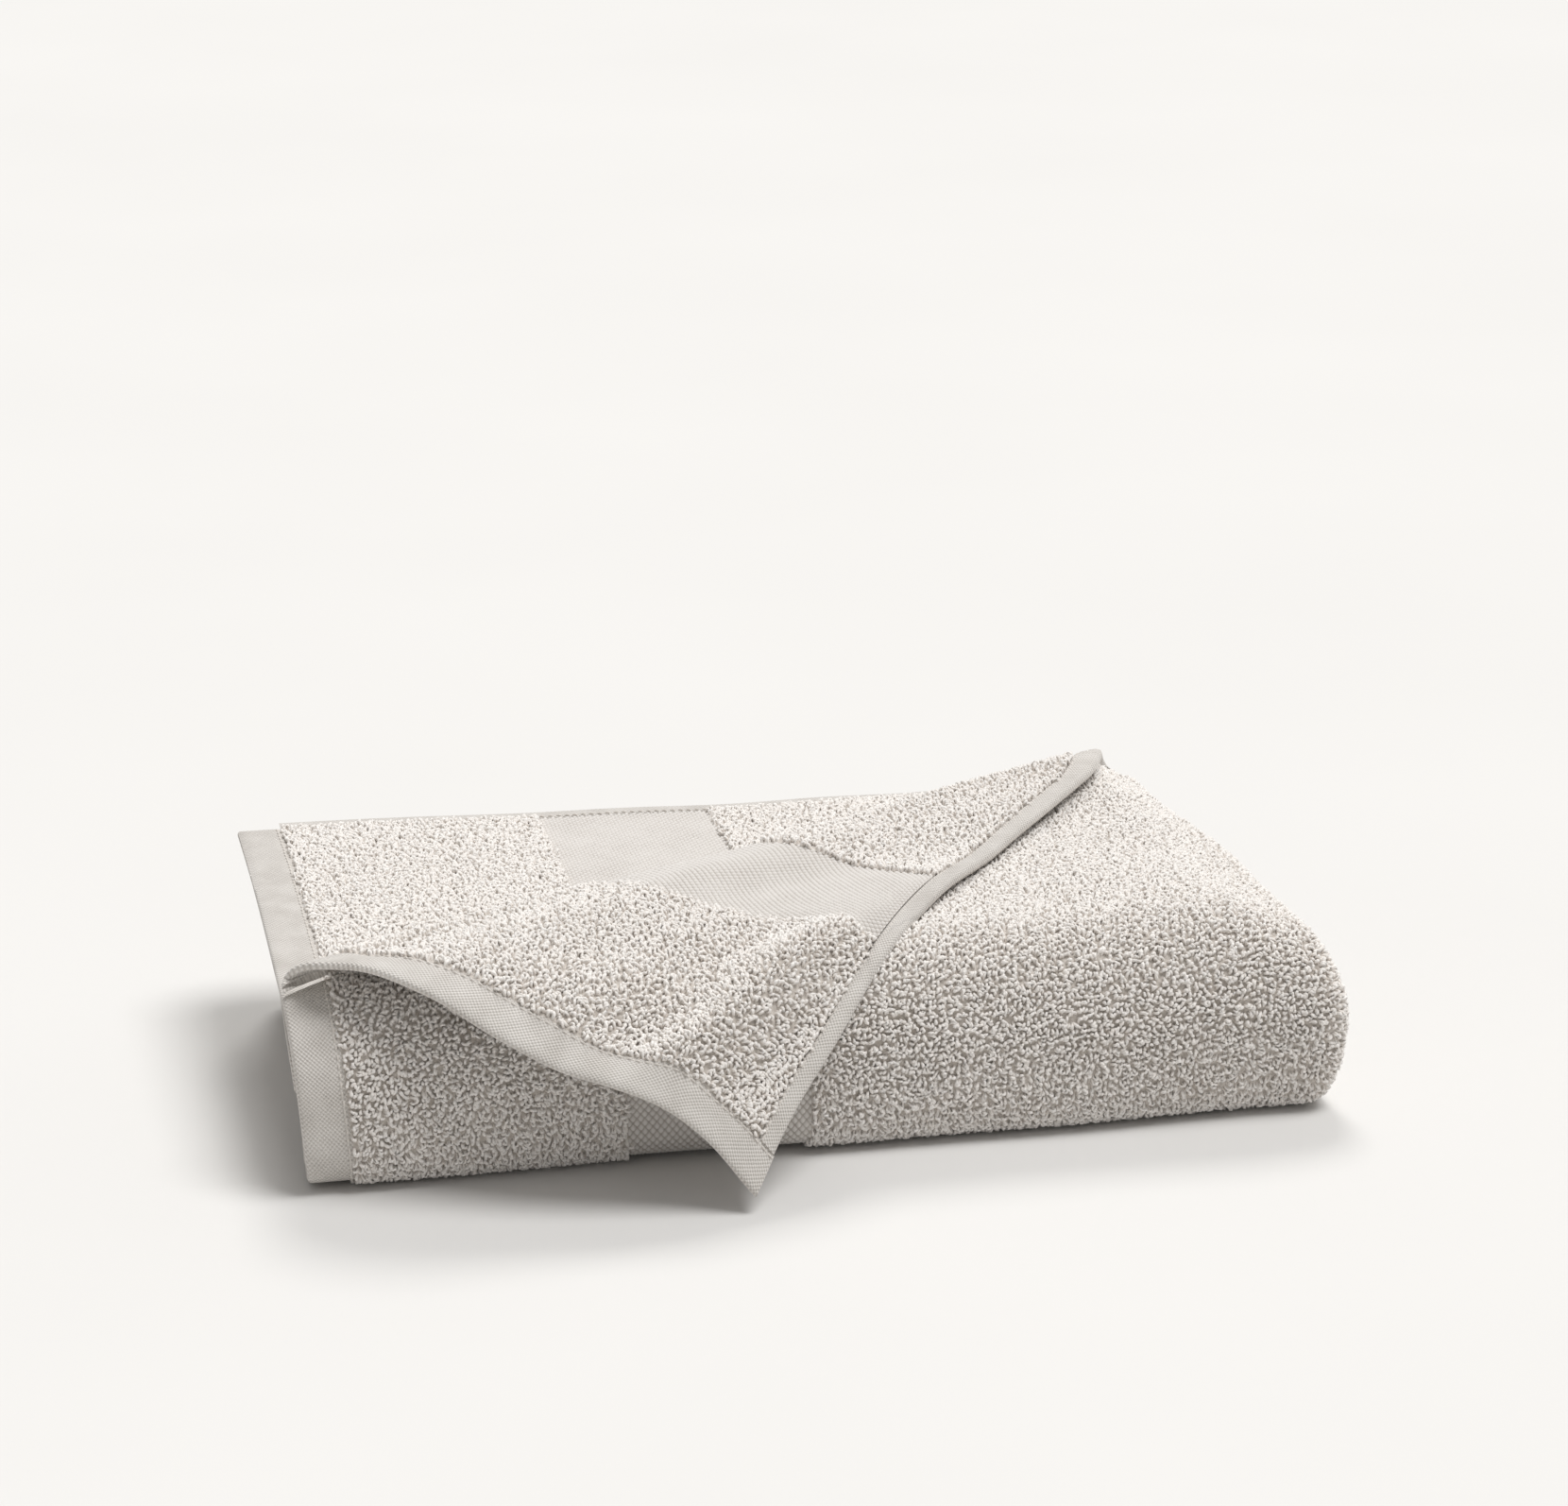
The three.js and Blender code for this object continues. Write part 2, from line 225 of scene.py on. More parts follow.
def settle(x, y, z):
    """Small unevenness of the whole stack: it leans in at the lower left, and bulges at the right front."""
    low = 1 - z / HEIGHT
    left = 1 - smooth(x, 0, WIDTH * 0.6)
    right = smooth(x, WIDTH * 0.75, WIDTH)
    front = 1 - smooth(y, 0, DEPTH * 0.5)
    belly = np.sin(math.pi * np.clip(z / HEIGHT, 0, 1))
    end = smooth(x, WIDTH * 0.88, WIDTH)
    shifted = x + LEAN_IN * low * left * smooth(y, 0, DEPTH * 0.8) - LEAN_OUT * left * (1 - low)
    shifted = shifted + right * front * (RIGHT_BULGE + RIGHT_BELLY * belly)
    shifted = shifted - RIGHT_SLANT * end * smooth(y, DEPTH * 0.45, DEPTH)
    near_crease = np.exp(-(((y - CREASE_START[1]) - CREASE_SLOPE * x) / SWELL_WIDTH) ** 2)
    first, far = CREASE_SWELL
    along = first * smooth(x, WIDTH * 0.2, WIDTH * 0.7) + far * smooth(x, WIDTH * 0.6, WIDTH * 0.85)
    swell = near_crease * along + 0.7 * waves(x, y, 3, 90) * (1 - left)
    swell = swell + left * (LEFT_BACK_RISE * smooth(y, 0, DEPTH) - LEFT_FRONT_DROP * front) + TOP_SWELL
    raised = z + (z / HEIGHT) ** 2 * (swell - RIGHT_DROP * end**1.6)
    return shifted, y + 0.8 * waves(x, z, 4, 80) * front, raised


def in_stack(x, s, depth, lift):
    """A place on a sheet at this depth, in the stack as it lies."""
    y, z = slump(*section(s, depth, lift))
    return np.stack(settle(x, y, z), -1)


def stack_surface(sheet):
    """The given sheet's surface: x along the towel, s round the folds, and lift off its outer face."""
    return lambda x, s, lift: in_stack(x, s, (sheet + 0.5) * LAYER, lift)


def right_turn_surface(sheet):
    """The outer or second sheet, going over the right end and back. x is the length of cloth."""
    start = (sheet + 0.5) * LAYER
    radius = (1.5 - sheet) * LAYER

    def surface(x, s, lift):
        turn = np.clip((x - PANEL_END) / radius, 0, math.pi)
        depth = 2 * LAYER - (radius + lift) * np.cos(turn)
        out = np.minimum(x, PANEL_END) + (radius + lift) * np.sin(turn)
        return in_stack(out, s, start, start - depth)

    return surface


def left_turn_surface(x, s, lift):
    """The closed fold at the left, between the third and fourth sheets. x is the length of cloth."""
    radius = LAYER / 2
    turn = np.clip(x / radius, 0, math.pi)
    depth = 3 * LAYER - (radius + lift) * np.cos(turn)
    out = LEFT_FOLD + LAYER - (radius + lift) * np.sin(turn)
    return in_stack(out, s, 2.5 * LAYER, 2.5 * LAYER - depth)


def top_height(y):
    """z of the outer sheet's middle over a place on the top or the roll, before the stack settles."""
    radius = FRONT_ROLL - LAYER / 2
    across = np.clip(FRONT_ROLL - y, 0, radius * 0.995)
    return FRONT_ROLL + (radius**ROUND_POWER - across**ROUND_POWER) ** (1 / ROUND_POWER)


# ---- The turned corner ----

FLAP_REST = LAYER * 0.95  # its middle over the outer sheet's middle where it lies down
FLAP_SETTLES = 34  # how far from the crease it comes to rest

# Where the edges of the hanging corner go, in order from the tip. Each is x, y, z.
END_HEM_EDGE = [
    (143, -42, 6), (127, -38, 26), (112, -35, 38), (97, -32, 45), (81, -27, 50),
    (62, -19, 60), (39, -7, 73), (18, 5, 79.5), (2, 14, 77), (-5, 21, 70),
]
SIDE_HEM_EDGE = [
    (143, -42, 6), (160, -26, 29), (178, -10, 46), (194, 8, 60), (208, 24, 67),
    (231, 54, 73), (259, 88, 74.5), (CREASE_END, DEPTH, 79.5),
]
# Where the side hem's points are along the cloth's own edge.
SIDE_HEM_PLACES = np.array([0, 35, 66, 94, 118, 166, 214, CREASE_END]) / CREASE_END


def even_places(points):
    """Each point's share of the way along, by the distance between them."""
    steps = np.linalg.norm(np.diff(np.array(points, float), axis=0), axis=1)
    places = np.concatenate([[0], np.cumsum(steps)])
    return places / places[-1]


END_HEM_PLACES = even_places(END_HEM_EDGE)


def curve_through(points, places, at):
    """A smooth curve that passes each point at its place from 0 to 1, by Catmull and Rom's rule."""
    points = np.array(points, float)
    at = np.clip(np.asarray(at, float), 0, 1)
    k = np.clip(np.searchsorted(places, at, side="right") - 1, 0, len(points) - 2)
    width = (places[k + 1] - places[k])[..., None]
    t = ((at - places[k]) / (places[k + 1] - places[k]))[..., None]
    slopes = np.gradient(points, places, axis=0)
    p0, p1 = points[k], points[k + 1]
    m0, m1 = slopes[k] * width, slopes[k + 1] * width
    return (
        (2 * t**3 - 3 * t**2 + 1) * p0 + (t**3 - 2 * t**2 + t) * m0
        + (3 * t**2 - 2 * t**3) * p1 + (t**3 - t**2) * m1
    )


def behind_crease(u, v):
    """How far a place on the flat towel lies along the crease, and how far behind it."""
    x, y = u - CREASE_START[0], v - CREASE_START[1]
    along = x * CREASE_ALONG[0] + y * CREASE_ALONG[1]
    behind = -(x * CREASE_FRONT[0] + y * CREASE_FRONT[1])
    return along, behind


def draped(u, v):
    """The corner turned over the crease, laid on the stack and let down over its front."""
    along, behind = behind_crease(u, v)
    bend_radius = CREASE_RADIUS + HEM_PUFF * np.exp(-((along / 26) ** 2))
    turn = np.clip(behind / bend_radius, 0, math.pi)
    ahead = np.maximum(behind - math.pi * bend_radius, 0)
    across = ahead - bend_radius * np.sin(turn) * (turn < math.pi)
    x = CREASE_START[0] + along * CREASE_ALONG[0] + across * CREASE_FRONT[0]
    y = CREASE_START[1] + along * CREASE_ALONG[1] + across * CREASE_FRONT[1]
    rise = bend_radius * (1 - np.cos(turn))
    lie = 1 - smooth(ahead, 0, FLAP_SETTLES)
    lift = np.where(turn < math.pi, rise, FLAP_REST + (2 * bend_radius - FLAP_REST) * lie)
    over = np.maximum(FRONT_ROLL - y, 0)
    radius = FRONT_ROLL + 42 * (1 - smooth(x, 20, 150))
    bend = np.minimum(over / radius, math.radians(62))
    rest = over - bend * radius
    hang_y = FRONT_ROLL - radius * np.sin(bend) - rest * np.cos(bend)
    hang_z = -radius * (1 - np.cos(bend)) - rest * np.sin(bend)
    flat_top = HEIGHT - LAYER / 2
    turning = turn < math.pi
    easing = np.where(turning, smooth(behind, 0, math.pi * bend_radius), 1.0)
    hung_y = np.where(over > 0, hang_y, y)
    z = (top_height(y) + lift) * (1 - easing) + (flat_top + lift + hang_z) * easing
    y = y * (1 - easing) + hung_y * easing
    return np.stack(settle(x, y, z), -1)


def flap_middle(u, v):
    """The corner's middle surface: draped, then drawn to the edges' curves, with its folds."""
    a = np.clip(u / CREASE_END, 0, 1)
    b = np.clip((DEPTH - v) / (DEPTH - CREASE_START[1]), 0, 1)
    tip = np.clip(1 - a - b, 0, 1)
    end_share = b / np.maximum(tip + b, 1e-6)
    side_share = a / np.maximum(tip + a, 1e-6)
    corner_gap = np.array(END_HEM_EDGE[0], float) - draped(0.0, DEPTH)
    zero = np.zeros_like(a)
    end_v = DEPTH - end_share * (DEPTH - CREASE_START[1])
    side_u = side_share * CREASE_END
    end_gap = curve_through(END_HEM_EDGE, END_HEM_PLACES, end_share) - draped(zero, end_v)
    side_gap = curve_through(SIDE_HEM_EDGE, SIDE_HEM_PLACES, side_share) - draped(side_u, zero + DEPTH)
    end_own = end_gap - corner_gap * (1 - end_share)[..., None]
    side_own = side_gap - corner_gap * (1 - side_share)[..., None]
    crease_fade = smooth(tip, 0, 0.12)[..., None]
    drawn = (
        corner_gap * tip[..., None]
        + end_own * ((tip + b) ** 2)[..., None]
        + side_own * ((tip + a) ** 2)[..., None]
    )
    middle = draped(u, v) + drawn * crease_fade
    middle[..., 2] += flap_folds(u, v)
    return keep_off_stack(middle)


def hump(value, middle, width):
    return np.exp(-(((value - middle) / width) ** 2))


def flap_folds(u, v):
    """Soft folds in the turned corner: a ridge beside the side hem, with a valley on each side."""
    ahead = smooth(behind_crease(u, v)[1], 22, 60)
    across = v - (146 + 0.24 * u)
    folds = 5.0 * hump(across, 0, 8) - 4.0 * hump(across, 18, 9) - 4.5 * hump(across, -21, 11)
    folds = folds * smooth(u, 4, 30) * (1 - 0.75 * smooth(u, 88, 120)) * smooth(DEPTH - v, 0, 16)
    lip = 2.2 * hump(u, 96, 13) * hump(v, 88, 26)
    return ahead * (folds + lip + 0.5 * waves(u, v, 9, 46))


def keep_off_stack(points):
    """Moves what would lie in the front roll out to rest on it."""
    x, y, z = points[..., 0], points[..., 1], points[..., 2]
    clear = FRONT_ROLL + LAYER * 0.55
    across, up = np.maximum(FRONT_ROLL - y, 0), z - FRONT_ROLL
    reach = np.hypot(across, np.maximum(up, 0)) + 1e-9
    push = np.where((y < FRONT_ROLL) & (up > 0), np.maximum(clear / reach, 1), 1.0)
    out = points.copy()
    out[..., 1] = np.where(y < FRONT_ROLL, FRONT_ROLL - across * push, y)
    out[..., 2] = np.where(up > 0, FRONT_ROLL + up * push, z)
    low_face = (up <= 0) & (y > -LAYER * 0.5)
    out[..., 1] = np.where(low_face, -LAYER * 0.5, out[..., 1])
    return out


def flap_surface(u, v, lift):
    """The turned corner's surface. Lift is off the face that shows, which was the layer's underside."""
    step = 0.4
    u, v = np.broadcast_arrays(np.asarray(u, float), np.asarray(v, float))
    middle = flap_middle(u, v)
    along = flap_middle(u + step, v) - flap_middle(u - step, v)
    across = flap_middle(u, v + step) - flap_middle(u, v - step)
    normal = unit(np.cross(across, along))
    return middle + normal * np.asarray(lift)[..., None]


# ---- Meshes ----

def new_mesh(name, vertices, faces):
    """An object from arrays: vertices in millimetres, and faces as rows of corners."""
    mesh = bpy.data.meshes.new(name)
    mesh.vertices.add(len(vertices))
    mesh.vertices.foreach_set("co", to_metres(vertices).astype(np.float32).ravel())
    sides = faces.shape[1]
    mesh.loops.add(faces.size)
    mesh.loops.foreach_set("vertex_index", faces.astype(np.int32).ravel())
    mesh.polygons.add(len(faces))
    mesh.polygons.foreach_set("loop_start", np.arange(0, faces.size, sides, dtype=np.int32))
    mesh.polygons.foreach_set("use_smooth", np.full(len(faces), True))
    mesh.update(calc_edges=True)
    piece = bpy.data.objects.new(name, mesh)
    bpy.context.scene.collection.objects.link(piece)
    return piece


def point_value(piece, name, values):
    held = piece.data.attributes.new(name, "FLOAT", "POINT")
    held.data.foreach_set("value", np.asarray(values, np.float32).ravel())


def grid_faces(rows, columns, wrap=False, first=0):
    """Quads over a grid of vertices, row by row. A wrapped grid's last column meets its first."""
    across = columns if wrap else columns - 1
    row, column = np.meshgrid(np.arange(rows - 1), np.arange(across), indexing="ij")
    here = first + row * columns + column
    beside = first + row * columns + (column + 1) % columns
    return np.stack([here, beside, beside + columns, here + columns], -1).reshape(-1, 4)


def swept(name, surface, outline, edges, step=2.0):
    """A closed strip: an outline of (u, lift) carried along v between two edges, each a function of u."""
    outline = np.array(outline)
    low, high = edges[0](outline[:, 0]), edges[1](outline[:, 0])
    around = len(outline)
    steps = max(int(np.max(np.abs(high - low)) / step), 3) + 1
    share = np.linspace(0, 1, steps)[:, None]
    v = low * (1 - share) + high * share
    u = np.tile(outline[:, 0], (steps, 1))
    lift = np.tile(outline[:, 1], (steps, 1))
    points = surface(u, v, lift).reshape(-1, 3)
    faces = grid_faces(steps, around, wrap=True)
    ends = []
    for first, turned in ((0, False), ((steps - 1) * around, True)):
        for k in range(around // 2 - 1):
            quad = [first + k, first + k + 1, first + around - 2 - k, first + around - 1 - k]
            ends.append(quad if turned else quad[::-1])
    piece = new_mesh(name, points, np.concatenate([faces, np.array(ends)]))
    point_value(piece, "along", v.ravel())
    point_value(piece, "across", u.ravel())
    return piece


def strip_outline(low, high, half, round_high=True, count=5):
    """A flat strip's outline in (u, lift), with its low side rounded, and its high side if asked."""
    upper = np.linspace(low + half, high - half, max(int((high - low) / 2.5), 3))
    turn = np.linspace(0, math.pi, count)[1:-1]
    high_side = [(high - half + half * math.sin(t), half * math.cos(t)) for t in turn]
    low_side = [(low + half - half * math.sin(t), -half * math.cos(t)) for t in turn]
    if not round_high:
        high_side = [(high, half * 0.9), (high, 0.0), (high, -half * 0.9)]
    top = [(x, half) for x in upper]
    bottom = [(x, -half) for x in upper[::-1]]
    return top + high_side + bottom + low_side


def patch(name, surface, lows, highs, edges, half, relief=None, cell=2.0):
    """A closed piece of cloth over u from lows to highs and v between two edges, each a function of u."""
    low_edge, high_edge = edges
    rows = max(int((highs - lows) / cell), 2) + 1
    middle = (lows + highs) / 2
    columns = max(int(abs(high_edge(middle) - low_edge(middle)) / cell), 2) + 1
    u = np.linspace(lows, highs, rows)[:, None] + np.zeros((1, columns))
    share = np.linspace(0, 1, columns)[None, :]
    v = low_edge(u) * (1 - share) + high_edge(u) * share
    bumps = relief(u, v) if relief is not None else 0.0
    face = surface(u, v, half + bumps).reshape(-1, 3)
    back = surface(u, v, -half - bumps).reshape(-1, 3)
    count = rows * columns
    front_faces = grid_faces(rows, columns)
    back_faces = grid_faces(rows, columns, first=count)[:, ::-1]
    rim = rim_of(rows, columns)
    following = np.roll(rim, -1)
    side = np.stack([following, rim, rim + count, following + count], -1)
    piece = new_mesh(name, np.concatenate([face, back]), np.concatenate([front_faces, back_faces, side]))
    point_value(piece, "along", np.tile(v.ravel(), 2))
    point_value(piece, "across", np.tile(u.ravel(), 2))
    return piece


def rim_of(rows, columns):
    """The vertices round the edge of a grid, in order."""
    top = np.arange(columns)
    right = np.arange(1, rows) * columns + columns - 1
    bottom = (rows - 1) * columns + np.arange(columns - 2, -1, -1)
    left = np.arange(rows - 2, 0, -1) * columns
    return np.concatenate([top, right, bottom, left])


# ---- Terry loops ----

LOOP_STEPS = 5
YARN_SIDES = 4


def loop_shape(rng, count):
    """Each loop's line in its own frame: an arch that leans, with a half twist. Shape (count, steps, 3)."""
    t = np.linspace(0, 1, LOOP_STEPS + 1)[None, :]
    width = rng.uniform(0.35, 0.68, (count, 1))
    height = PILE * rng.uniform(0.78, 1.08, (count, 1))
    twist = rng.uniform(-0.4, 0.4, (count, 1))
    lean_x = rng.normal(0, 0.3, (count, 1))
    lean_y = rng.normal(0, 0.28, (count, 1))
    arch = np.sin(math.pi * t)
    x = -width * np.cos(math.pi * t) * (1 + 0.35 * arch)
    z = height * arch**0.75
    y = twist * np.sin(2 * math.pi * t)
    return np.stack([x + lean_x * z, y + lean_y * z, z - YARN], -1)


def pile(name, surface, u, v, base, side, seed, along=0.7):
    """Loops at places u, v on a surface, standing on the face at the given lift, up or down."""
    rng = np.random.default_rng(seed)
    count = len(u)
    u = u + rng.uniform(-0.45, 0.45, count) * PILE_PITCH
    v = v + rng.uniform(-0.45, 0.45, count) * PILE_PITCH
    foot = surface(u, v, np.full(count, base * side))
    normal = unit(surface(u, v, np.full(count, (base + 0.6) * side)) - foot)
    step = 0.5
    tangent = surface(u + step, v, np.full(count, base * side)) - foot
    tangent = unit(tangent - normal * (tangent * normal).sum(-1, keepdims=True))
    other = np.cross(normal, tangent)
    angle = along + rng.normal(0, 0.75, count) + 0.6 * waves(u, v, seed + 1, 24)
    first = tangent * np.cos(angle)[:, None] + other * np.sin(angle)[:, None]
    second = np.cross(normal, first)
    shape = loop_shape(rng, count)
    run = unit(np.gradient(shape, axis=1))
    ring = np.linspace(0, 2 * math.pi, YARN_SIDES, endpoint=False)
    sideways = unit(np.cross(run, np.array([0.0, 1.0, 0.0])))
    upright = np.cross(sideways, run)
    radius = YARN * rng.uniform(0.85, 1.15, (count, 1, 1, 1))
    points = shape[:, :, None, :] + radius * (
        sideways[:, :, None, :] * np.cos(ring)[None, None, :, None]
        + upright[:, :, None, :] * np.sin(ring)[None, None, :, None]
    )
    points = (
        foot[:, None, None, :]
        + points[..., 0:1] * first[:, None, None, :]
        + points[..., 1:2] * second[:, None, None, :]
        + points[..., 2:3] * normal[:, None, None, :]
    )
    points[..., 2] = np.maximum(points[..., 2], 0.12)
    rings, per_loop = LOOP_STEPS + 1, (LOOP_STEPS + 1) * YARN_SIDES
    one = grid_faces(rings, YARN_SIDES, wrap=True)
    faces = (one[None] + (np.arange(count) * per_loop)[:, None, None]).reshape(-1, 4)
    piece = new_mesh(name, points.reshape(-1, 3), faces)
    point_value(piece, "tint", np.repeat(rng.uniform(0, 1, count), per_loop))
    # How far up its loop each point is; the loop material darkens the low end as painted shade.
    rise = np.clip(shape[..., 2] / PILE, 0, 1)
    point_value(piece, "rise", np.repeat(rise.ravel(), YARN_SIDES))
    layer = piece.data.uv_layers.new(name="OFBake")
    layer.data.foreach_set("uv", bake_cells(count, rings).astype(np.float32).ravel())
    return piece


def bake_cells(count, rings):
    """A place in the bake's map for each face corner: one small square for each loop."""
    across = math.ceil(math.sqrt(count))
    index = np.arange(count)
    cell = np.stack([index % across, index // across], -1)[:, None, None, :]
    row, column = np.meshgrid(np.arange(rings - 1), np.arange(YARN_SIDES), indexing="ij")
    row, column = row.ravel()[:, None], column.ravel()[:, None]
    inside = np.stack([
        (row + np.array([0, 0, 1, 1])) / (rings - 1),
        (column + np.array([0, 1, 1, 0])) / YARN_SIDES,
    ], -1)[None]
    return ((cell + 0.1 + 0.8 * inside) / across).reshape(-1, 2)


def places(low_u, high_u, low_v, high_v, inside=None):
    """Rows of loop places over a rectangle of cloth, every second row shifted, where inside() holds."""
    rows = np.arange(low_v + PILE_PITCH / 2, high_v, PILE_PITCH)
    columns = np.arange(low_u + PILE_PITCH / 2, high_u, PILE_PITCH)
    v, u = np.meshgrid(rows, columns, indexing="ij")
    u = u + (np.arange(len(rows)) % 2)[:, None] * PILE_PITCH / 2
    u, v = u.ravel(), v.ravel()
    keep = (u > low_u) & (u < high_u)
    if inside is not None:
        keep &= inside(u, v)
    return u[keep], v[keep]


# ---- Materials ----

def material(name):
    """A material with a Principled shader; gives its node maker, its links and the shader."""
    made = bpy.data.materials.new(name)
    made.use_nodes = True
    nodes = made.node_tree.nodes
    shader = nodes["Principled BSDF"]
    return made, nodes, made.node_tree.links, shader


def attribute(nodes, name):
    node = nodes.new("ShaderNodeAttribute")
    node.attribute_name = name
    return node.outputs["Fac"]


def math_node(nodes, links, operation, first, second=0.0, third=0.0):
    node = nodes.new("ShaderNodeMath")
    node.operation = operation
    for socket, value in zip(node.inputs, (first, second, third)):
        if isinstance(value, (int, float)):
            socket.default_value = value
        else:
            links.new(value, socket)
    return node.outputs[0]


def noise(nodes, links, scale, detail=3.0):
    """Smooth noise over the object's own metres."""
    node = nodes.new("ShaderNodeTexNoise")
    node.inputs["Scale"].default_value = scale
    node.inputs["Detail"].default_value = detail
    links.new(nodes.new("ShaderNodeTexCoord").outputs["Object"], node.inputs["Vector"])
    return node.outputs["Fac"]


def weighted(nodes, links, start, *terms):
    """start plus each value times its weight."""
    total = start
    for value, weight in terms:
        total = math_node(nodes, links, "MULTIPLY_ADD", value, weight, total)
    return total


def colour_ramp(nodes, links, shader, value, stops):
    """Colours the shader by a value from 0 to 1."""
    node = nodes.new("ShaderNodeValToRGB")
    ramp = node.color_ramp
    ramp.elements[0].position, ramp.elements[0].color = stops[0][0], (*stops[0][1], 1)
    ramp.elements[1].position, ramp.elements[1].color = stops[-1][0], (*stops[-1][1], 1)
    for position, colour in stops[1:-1]:
        ramp.elements.new(position).color = (*colour, 1)
    links.new(value, node.inputs["Fac"])
    links.new(node.outputs["Color"], shader.inputs["Base Color"])


def bump(nodes, links, height, distance, shader, strength=0.6):
    node = nodes.new("ShaderNodeBump")
    node.inputs["Strength"].default_value = strength
    node.inputs["Distance"].default_value = distance
    links.new(height, node.inputs["Height"])
    links.new(node.outputs["Normal"], shader.inputs["Normal"])


def cloth_shader(shader, roughness=0.92, sheen=0.35):
    shader.inputs["Roughness"].default_value = roughness
    shader.inputs["Sheen Weight"].default_value = sheen
    shader.inputs["Sheen Roughness"].default_value = 0.55
    shader.inputs["Specular IOR Level"].default_value = 0.15


# The first loop colour is painted shade, for a loop's foot down between the loops.
FOOT_SHADE_YARN = (0.70, 0.645, 0.595)
YARN_COLOUR = (0.91, 0.865, 0.82)
PALE_YARN = (0.955, 0.925, 0.895)
CELL_STEP = 0.5  # between the mesh's points where it shows
CELL = 2.7 * MM  # from dot to dot of the honeycomb weave
WEAVE = 1.5 * MM  # of the plain weave


def loop_material():
    """Cotton loops: each its own tone, darker towards its foot as painted shade down between the loops,
    with fine fibres along the yarn.
    """
    made, nodes, links, shader = material("terry_loops")
    patches = noise(nodes, links, 55.0, 2.0)
    fibres = noise(nodes, links, 5200.0, 2.0)
    tint = attribute(nodes, "tint")
    rise = attribute(nodes, "rise")
    # rise darkens each loop towards its foot: painted shade between the loops.
    shade = weighted(nodes, links, 0.12, (tint, 0.2), (rise, 0.54), (patches, 0.22), (fibres, 0.12))
    stops = [(0.12, FOOT_SHADE_YARN), (0.55, YARN_COLOUR), (0.95, PALE_YARN)]
    colour_ramp(nodes, links, shader, shade, stops)
    bump(nodes, links, fibres, 0.00025, shader, 0.5)
    cloth_shader(shader)
    return made


def woven_pattern(nodes, links, pitch):
    """Height of a plain weave from the cloth's own places: threads over and under, between 0 and 1."""
    turn = 2 * math.pi * MM / pitch
    across = math_node(nodes, links, "MULTIPLY", attribute(nodes, "across"), turn)
    along = math_node(nodes, links, "MULTIPLY", attribute(nodes, "along"), turn)
    first = math_node(nodes, links, "SINE", across)
    second = math_node(nodes, links, "SINE", along)
    both = math_node(nodes, links, "MULTIPLY", first, second)
    return math_node(nodes, links, "MULTIPLY_ADD", both, 0.5, 0.5)


def honeycomb_pattern(nodes, links):
    """The same cells as honeycomb_height, for the shader."""
    turn = math.pi * MM / CELL
    across, along = attribute(nodes, "across"), attribute(nodes, "along")
    waves_made = []
    for operation in ("ADD", "SUBTRACT"):
        together = math_node(nodes, links, operation, across, along)
        turned = math_node(nodes, links, "MULTIPLY", together, turn)
        waves_made.append(math_node(nodes, links, "SINE", turned))
    both = math_node(nodes, links, "MULTIPLY", *waves_made)
    return math_node(nodes, links, "ABSOLUTE", both)


def ground_material():
    """The woven cloth between the loops, coloured darker than their yarn as painted shade from the loops
    over it.
    """
    made, nodes, links, shader = material("terry_ground")
    weave = woven_pattern(nodes, links, WEAVE * 1.6)
    patches = noise(nodes, links, 60.0)
    shade = weighted(nodes, links, patches, (weave, 0.4))
    # Painted shade: both colours are far darker than the yarn, for the shade down between the loops.
    stops = [(0.3, (0.44, 0.395, 0.35)), (0.9, (0.64, 0.595, 0.55))]
    colour_ramp(nodes, links, shader, shade, stops)
    bump(nodes, links, weave, 0.0004, shader)
    cloth_shader(shader)
    return made


def hem_material():
    """Flat plain weave of the turned hems, with a little fuzz and wear along it."""
    made, nodes, links, shader = material("hem_weave")
    weave = woven_pattern(nodes, links, WEAVE)
    patches = noise(nodes, links, 90.0)
    fuzz = noise(nodes, links, 2500.0)
    shade = weighted(nodes, links, 0.0, (weave, 0.42), (patches, 0.4), (fuzz, 0.2))
    stops = [(0.2, (0.42, 0.385, 0.35)), (0.5, (0.66, 0.625, 0.585)), (0.75, (0.78, 0.75, 0.715))]
    colour_ramp(nodes, links, shader, shade, stops)
    bump(nodes, links, weave, 0.0006, shader, 0.7)
    cloth_shader(shader, sheen=0.25)
    return made


def honeycomb_material():
    """The honeycomb band: its cells are in the mesh, and the shader darkens their hollows as painted shade
    and adds the threads.
    """
    made, nodes, links, shader = material("honeycomb_weave")
    cells = honeycomb_pattern(nodes, links)
    fuzz = noise(nodes, links, 2600.0)
    patches = noise(nodes, links, 70.0)
    shade = weighted(nodes, links, 0.0, (cells, 0.62), (patches, 0.25), (fuzz, 0.2))
    # The darkest colour, in the cells' hollows, is painted shade.
    stops = [(0.16, (0.36, 0.32, 0.285)), (0.42, (0.64, 0.605, 0.57)), (0.75, (0.76, 0.73, 0.70))]
    colour_ramp(nodes, links, shader, shade, stops)
    bump(nodes, links, fuzz, 0.0003, shader, 0.5)
    cloth_shader(shader, sheen=0.25)
    return made


def thread_material():
    made, nodes, links, shader = material("sewing_thread")
    twist = noise(nodes, links, 3000.0)
    stops = [(0.3, (0.60, 0.555, 0.51)), (0.7, (0.80, 0.765, 0.72))]
    colour_ramp(nodes, links, shader, twist, stops)
    bump(nodes, links, twist, 0.0002, shader)
    cloth_shader(shader, roughness=0.7, sheen=0.2)
    return made


LOOPS = loop_material()
GROUND = ground_material()
HEM = hem_material()
HONEYCOMB = honeycomb_material()
THREAD_FINISH = thread_material()


def honeycomb_height(u, v):
    """Staggered round cells of the honeycomb weave, from 0 in the hollows to 1 on the dots."""
    turn = math.pi * MM / CELL
    return np.abs(np.sin((u + v) * turn) * np.sin((u - v) * turn))


# ---- Pieces ----

